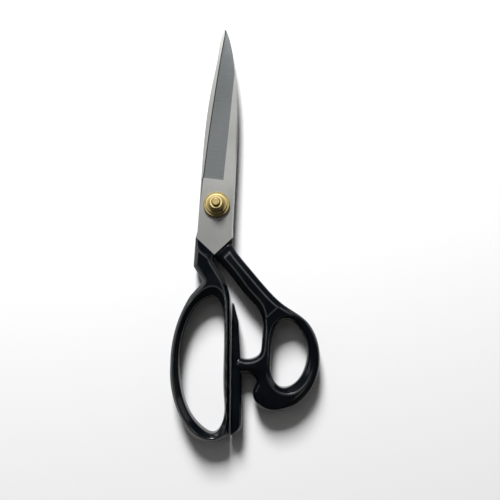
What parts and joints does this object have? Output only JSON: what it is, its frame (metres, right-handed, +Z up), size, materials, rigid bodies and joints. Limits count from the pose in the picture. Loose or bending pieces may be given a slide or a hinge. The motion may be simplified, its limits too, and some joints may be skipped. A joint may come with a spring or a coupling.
{
  "type": "fabric shears",
  "caption": "Bent-handle fabric shears: two ground steel blades on a nutted pivot, with glossy black finger and thumb bows and a closing stop.",
  "frame": {"origin": "the pivot axis at the surface the shears lie on, which is the flat face of the pivot bolt's head", "axes": "+Z up along the pivot axis, +Y from the handles towards the blade tips, +X towards the thumb handle's side"},
  "size_m": [0.0834, 0.254, 0.0159],
  "materials": {
    "blade_steel": "brushed along the blade, with a ground facet",
    "black_enamel": "gloss black baked enamel over forged steel",
    "pin_steel": "turned",
    "bolt_steel": "turned",
    "washer_bronze": "lapped",
    "pivot_brass": "turned and polished, lightly worn",
    "spring_steel": "blued"
  },
  "bodies": {
    "lower_half": {"lower_blade": "blade_steel", "thumb_handle": "black_enamel", "thumb_tang_pins": "pin_steel", "pivot_bolt": "bolt_steel", "bearing_washer": "washer_bronze", "flange_washer": "pivot_brass", "spring_washer": "spring_steel"},
    "upper_half": {"upper_blade": "blade_steel", "finger_handle": "black_enamel", "finger_tang_pins": "pin_steel"},
    "nut": {"tension_nut": "pivot_brass"}
  },
  "joints": [
    {"name": "blade_pivot", "type": "hinge", "parent": "lower_half", "child": "upper_half", "pos_m": [0, 0, 0.006], "axis": [0, 0, -1], "range_deg": [0, 100]},
    {"name": "nut_turn", "type": "hinge", "parent": "lower_half", "child": "nut", "pos_m": [0, 0, 0.011], "axis": [0, 0, 1], "range_deg": [-45, 45]}
  ]
}
